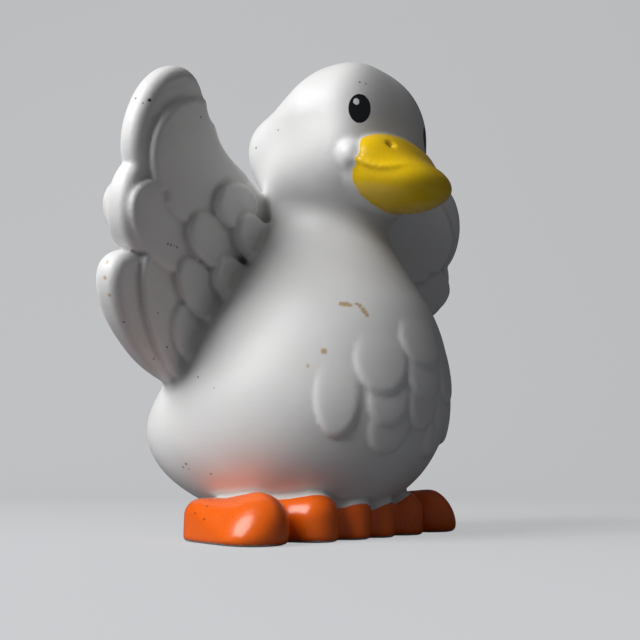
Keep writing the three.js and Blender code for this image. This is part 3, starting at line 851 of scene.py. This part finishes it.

# Each coat goes over the one before: vinyl, painted shade in the hollows, rubs, paint, specks and the
# eyes' print. A mix node's sockets go by number: input 0 is its share, 2 and 3 its numbers, 6 and 7
# its colours, and output 2 is the mixed colour.
base_colours = []
tones = ((WHITE_VINYL, MOTTLED_VINYL), (BEAK_YELLOW, BEAK_AMBER), (FOOT_ORANGE, FOOT_RED))
for plain, mottled in tones:
    blend = add_node(
        tree, "ShaderNodeMix", {0: mottle, 6: linear(plain), 7: linear(mottled)}, data_type="RGBA")
    base_colours.append(blend.outputs[2])
colour, beak_colour, foot_colour = base_colours
coats = (
    (hollow_shade_share, linear(HOLLOW_SHADE)),
    (rub_share, linear(RUB)),
    (beak_share, beak_colour),
    (foot_share, foot_colour),
    (speck_share, linear(SPECK)),
    (eye_share, linear(EYE_BLACK)),
    (glint_share, linear(GLINT_WHITE)),
)
for share, coat in coats:
    blend = add_node(tree, "ShaderNodeMix", {0: share, 6: colour, 7: coat}, data_type="RGBA")
    colour = blend.outputs[2]
tree.links.new(colour, shader.inputs["Base Color"])

gloss_share = eye_share
for share in (beak_share, foot_share):
    gloss_share = add_node(
        tree, "ShaderNodeMath", {0: gloss_share, 1: share}, operation="MAXIMUM").outputs[0]
satin = add_node(tree, "ShaderNodeMapRange", {
    "Value": grain,
    "From Min": NOISE_LOW,
    "From Max": NOISE_HIGH,
    "To Min": SATIN_ROUGHNESS[0],
    "To Max": SATIN_ROUGHNESS[1],
}).outputs[0]
gloss = add_node(tree, "ShaderNodeMapRange", {
    "Value": mottle,
    "From Min": NOISE_LOW,
    "From Max": NOISE_HIGH,
    "To Min": GLOSS_ROUGHNESS[0],
    "To Max": GLOSS_ROUGHNESS[1],
}).outputs[0]
roughness = add_node(tree, "ShaderNodeMix", {0: gloss_share, 2: satin, 3: gloss}, data_type="FLOAT")
tree.links.new(roughness.outputs[0], shader.inputs["Roughness"])

relief = add_node(tree, "ShaderNodeMath", {0: grain, 1: GRAIN_HEIGHT}, operation="MULTIPLY").outputs[0]
relief = add_node(
    tree, "ShaderNodeMath", {0: gloss_share, 1: COAT_HEIGHT, 2: relief}, operation="MULTIPLY_ADD")
bump = add_node(tree, "ShaderNodeBump", {
    "Strength": BUMP_STRENGTH,
    "Distance": METRE,
    "Height": relief.outputs[0],
})
tree.links.new(bump.outputs[0], shader.inputs["Normal"])
shader.inputs["IOR"].default_value = VINYL_IOR
shader.inputs["Subsurface Weight"].default_value = SCATTER_SHARE
shader.inputs["Subsurface Radius"].default_value = SCATTER_TINT
shader.inputs["Subsurface Scale"].default_value = SCATTER_DEPTH * METRE
skin.materials.append(vinyl)


# Studio.
# The toy stands on a sheet of matte paper that sweeps up behind it, with one large soft lamp to the
# camera's left and even light from all round. Paper and sky look brighter to the camera than they
# light the toy, so the background is pale and the white vinyl keeps its shade.
FLOOR_GREY = "76777A"
PAPER_ROUGHNESS = 0.9
FLOOR_HALF_WIDTH = 1500
FLOOR_FRONT = 1500
SWEEP_START = 190
SWEEP_RADIUS = 160
WALL_HEIGHT = 900
SWEEP_STEPS = 24
LAMP_SIZE = 260
LAMP_DISTANCE = 330
LAMP_POWER = 1.4
LAMP_LEFT = 0.6
LAMP_UP = 0.48
LAMP_FRONT = 0.44
SKY_WHITE = "F4F6FA"
SKY_STRENGTH = 0.12
SKY_SEEN = 0.55
FLOOR_GLOW = 0.46
GLOW_WHITE = "FAFBFD"

away = np.array([-camera_back[0], -camera_back[1], 0])
away = away / np.linalg.norm(away)
profile = [(-FLOOR_FRONT, 0)]
for i in range(SWEEP_STEPS + 1):
    angle = math.pi / 2 * i / SWEEP_STEPS
    profile.append((SWEEP_START + SWEEP_RADIUS * math.sin(angle), SWEEP_RADIUS * (1 - math.cos(angle))))
profile.append((SWEEP_START + SWEEP_RADIUS, WALL_HEIGHT))
floor_points = []
for run, rise in profile:
    for side in (-FLOOR_HALF_WIDTH, FLOOR_HALF_WIDTH):
        floor_points.append(Vector(away * run + camera_right * side + np.array([0, 0, rise])) * METRE)
floor_faces = [(2 * i, 2 * i + 1, 2 * i + 3, 2 * i + 2) for i in range(len(profile) - 1)]
floor_mesh = bpy.data.meshes.new("floor")
floor_mesh.from_pydata(floor_points, [], floor_faces)
floor_mesh.polygons.foreach_set("use_smooth", np.ones(len(floor_faces), bool))
floor_paper = bpy.data.materials.new("floor_paper")
floor_paper.use_nodes = True
floor_shader = floor_paper.node_tree.nodes["Principled BSDF"]
floor_shader.inputs["Base Color"].default_value = linear(FLOOR_GREY)
floor_shader.inputs["Roughness"].default_value = PAPER_ROUGHNESS
floor_shader.inputs["Specular IOR Level"].default_value = 0.0
floor_tree = floor_paper.node_tree
seen = add_node(floor_tree, "ShaderNodeLightPath").outputs["Is Camera Ray"]
glow = add_node(floor_tree, "ShaderNodeMath", {0: seen, 1: FLOOR_GLOW}, operation="MULTIPLY").outputs[0]
floor_shader.inputs["Emission Color"].default_value = linear(GLOW_WHITE)
floor_tree.links.new(glow, floor_shader.inputs["Emission Strength"])
floor_mesh.materials.append(floor_paper)
floor = bpy.data.objects.new("floor", floor_mesh)
bpy.context.collection.objects.link(floor)

lamp_direction = -camera_right * LAMP_LEFT + np.array([0, 0, LAMP_UP]) - away * LAMP_FRONT
lamp_direction = lamp_direction / np.linalg.norm(lamp_direction)
lamp_data = bpy.data.lights.new("lamp", "AREA")
lamp_data.shape = "DISK"
lamp_data.size = LAMP_SIZE * METRE
lamp_data.energy = LAMP_POWER
lamp = bpy.data.objects.new("lamp", lamp_data)
lamp.location = Vector(CAMERA_TARGET + lamp_direction * LAMP_DISTANCE) * METRE
lamp.rotation_mode = "QUATERNION"
lamp.rotation_quaternion = Vector(lamp_direction).to_track_quat("Z", "Y")
lamp.visible_camera = False
bpy.context.collection.objects.link(lamp)

world = bpy.data.worlds.new("studio")
world.use_nodes = True
sky_tree = world.node_tree
sky = sky_tree.nodes["Background"]
sky.inputs["Color"].default_value = linear(SKY_WHITE)
seen = add_node(sky_tree, "ShaderNodeLightPath").outputs["Is Camera Ray"]
brightness = add_node(
    sky_tree, "ShaderNodeMapRange", {"Value": seen, "To Min": SKY_STRENGTH, "To Max": SKY_SEEN})
sky_tree.links.new(brightness.outputs[0], sky.inputs["Strength"])
bpy.context.scene.world = world
bpy.context.scene.view_settings.view_transform = "Standard"
